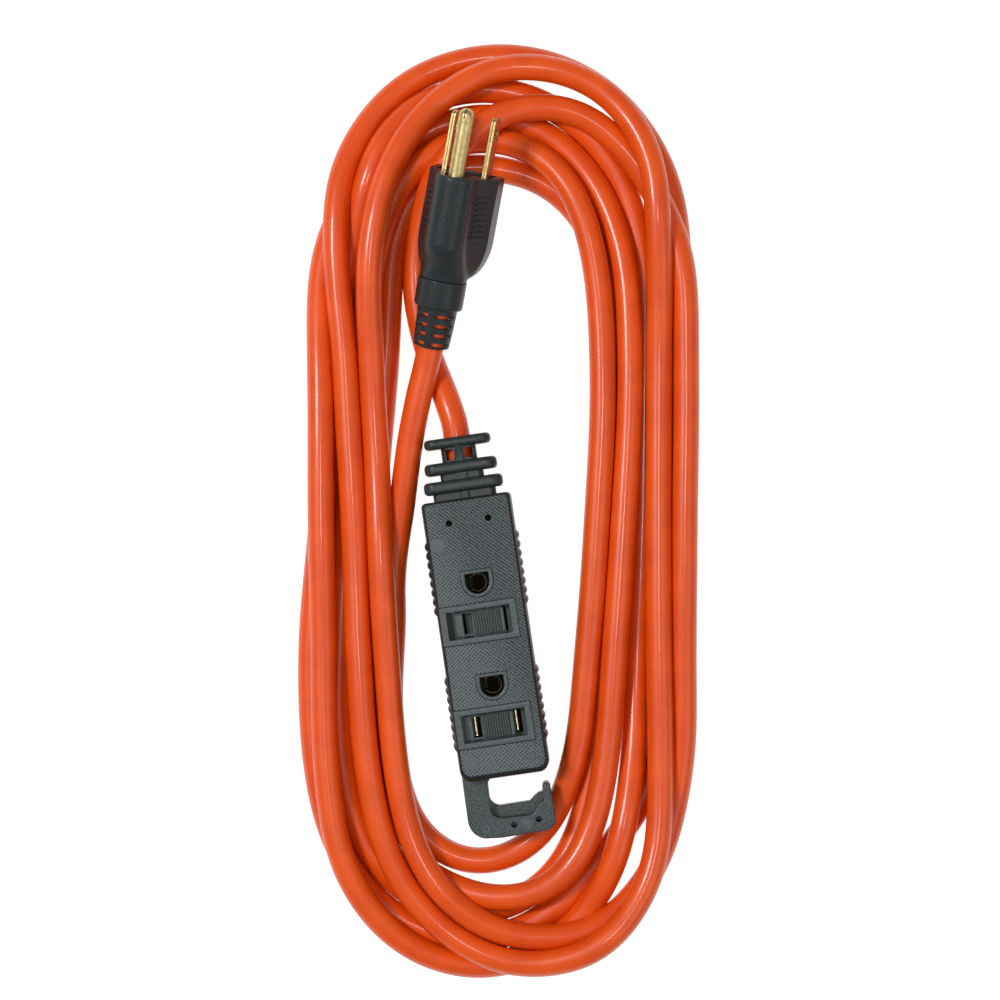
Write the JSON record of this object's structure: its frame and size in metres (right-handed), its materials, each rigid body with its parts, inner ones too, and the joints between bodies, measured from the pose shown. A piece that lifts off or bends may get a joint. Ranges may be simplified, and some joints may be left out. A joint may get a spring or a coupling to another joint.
{
  "type": "extension cord",
  "caption": "Heavy-duty outdoor extension cord: orange cord wound in a long oval hank, flat tap with shuttered outlets and a hanging hook, and a moulded grounded plug.",
  "frame": {"origin": "bottom centre of the outlet tap (jacket, hook and strain relief), which lies on its back", "axes": "+Y along the tap towards its cord, +Z out of the outlet face, +X to the right when the outlets are seen with the cord end up"},
  "size_m": [0.1482, 0.2902, 0.0427],
  "materials": {
    "tap_moulding": "fine crosshatch texture, satin",
    "rim_plastic": "smooth satin",
    "core_plastic": "smooth",
    "shutter_plastic": "smooth with fine grip ridges",
    "plug_moulding": "soft satin",
    "contact_brass": "stamped brass",
    "prong_brass": "polished brass",
    "line_insulation": "black",
    "neutral_insulation": "white",
    "ground_insulation": "green",
    "cord_jacket": "bright orange, glossy extruded jacket"
  },
  "bodies": {
    "tap": {"tap_jacket": "tap_moulding", "faceplate": "rim_plastic", "core_front": "core_plastic", "core_back": "core_plastic", "line_contact": "contact_brass", "neutral_contact": "contact_brass", "ground_contact": "contact_brass", "line_crimp": "contact_brass", "neutral_crimp": "contact_brass", "ground_crimp": "contact_brass", "tap_line_wire": "line_insulation", "tap_neutral_wire": "neutral_insulation", "tap_ground_wire": "ground_insulation", "tap_strain_relief": "tap_moulding", "tap_cord_stub": "cord_jacket", "plug_body": "plug_moulding", "plug_bridge": "core_plastic", "line_blade": "prong_brass", "neutral_blade": "prong_brass", "ground_pin": "prong_brass", "plug_crimps": "contact_brass", "plug_line_wire": "line_insulation", "plug_neutral_wire": "neutral_insulation", "plug_ground_wire": "ground_insulation", "plug_strain_relief": "plug_moulding", "plug_cord_stub": "cord_jacket", "cord_tap_end": "cord_jacket", "cord_plug_end": "cord_jacket", "cord_hank": "cord_jacket"},
    "upper_shutter": {"shutter_upper": "shutter_plastic"},
    "lower_shutter": {"shutter_lower": "shutter_plastic"}
  },
  "joints": [
    {"name": "upper_shutter_slide", "type": "slide", "parent": "tap", "child": "upper_shutter", "axis": [1, 0, 0], "range_m": [-0.0017, 0]},
    {"name": "lower_shutter_slide", "type": "slide", "parent": "tap", "child": "lower_shutter", "axis": [1, 0, 0], "range_m": [0, 0.0017]}
  ]
}
